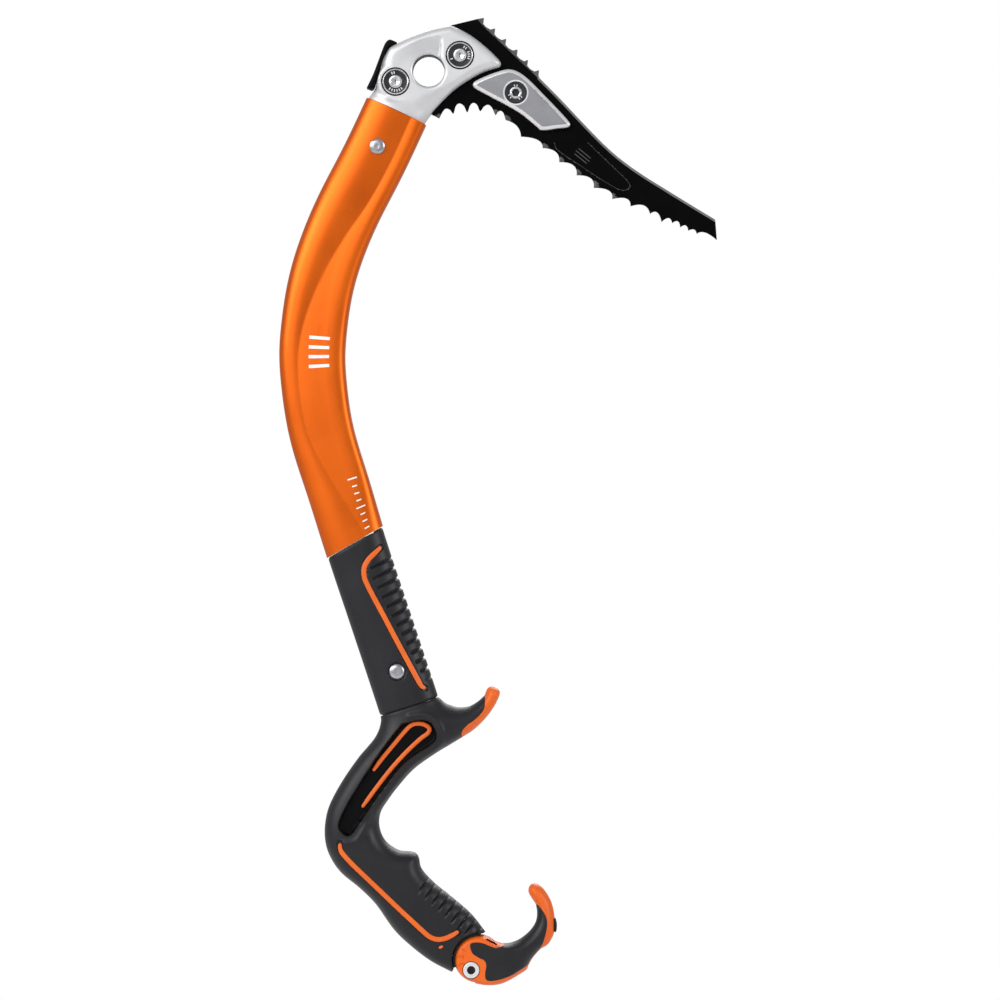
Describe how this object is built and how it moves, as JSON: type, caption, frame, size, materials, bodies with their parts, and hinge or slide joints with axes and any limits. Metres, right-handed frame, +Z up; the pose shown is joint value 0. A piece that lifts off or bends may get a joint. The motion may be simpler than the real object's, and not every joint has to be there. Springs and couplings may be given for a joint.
{
  "type": "ice axe",
  "caption": "Hooked ice axe: bolted toothed pick in a forged head, bent tube shaft, crook handle with a trigger rest and an adjustable hooked pommel.",
  "frame": {"origin": "centre of the round carabiner eye in the head, on the middle plane between the two cheeks", "axes": "+Z up along the axe's length as it stands head up, +X towards the pick, +Y away from the viewer through the thickness; the middle plane is y = 0"},
  "size_m": [0.2266, 0.0276, 0.5003],
  "materials": {
    "forged_aluminium": "satin forged",
    "black_steel": "black coated steel with ground edges",
    "black_plastic": "moulded, fine grain",
    "plated_weight": "grey plated, bright bevelled rim",
    "bolt_steel": "bright",
    "orange_anodised": "orange anodised, satin with a metallic sparkle",
    "black_rubber": "soft moulded rubber, fine grain",
    "orange_nylon": "moulded glass-filled nylon, satin"
  },
  "bodies": {
    "axe": {"head": "forged_aluminium", "pick": "black_steel", "rear_spacer": "black_plastic", "front_bolt": "bolt_steel", "front_nut": "bolt_steel", "rear_bolt": "bolt_steel", "rear_nut": "bolt_steel", "weight_near": "plated_weight", "weight_far": "plated_weight", "weight_screw": "black_steel", "weight_nut": "black_steel", "shaft": "orange_anodised", "head_rivet": "bolt_steel", "upper_grip": "black_rubber", "handle_rivet": "bolt_steel", "handle_core": "orange_nylon", "handle_skin": "black_rubber", "upper_inlay_near": "orange_nylon", "upper_inlay_far": "orange_nylon", "lower_inlay_near": "orange_nylon", "lower_inlay_far": "orange_nylon", "pocket_inlay_near": "orange_nylon", "pocket_inlay_far": "orange_nylon", "index_mark_near": "orange_nylon", "index_mark_far": "orange_nylon"},
    "pommel": {"pommel_core": "orange_nylon", "pommel_pad": "black_rubber", "pommel_screw": "bolt_steel", "pommel_nut": "bolt_steel", "pommel_insert": "black_plastic"}
  },
  "joints": [
    {"name": "pommel_adjust", "type": "hinge", "parent": "axe", "child": "pommel", "pos_m": [0.0255, 0, -0.4586], "axis": [0, 1, 0], "range_deg": [-12, 12]}
  ]
}
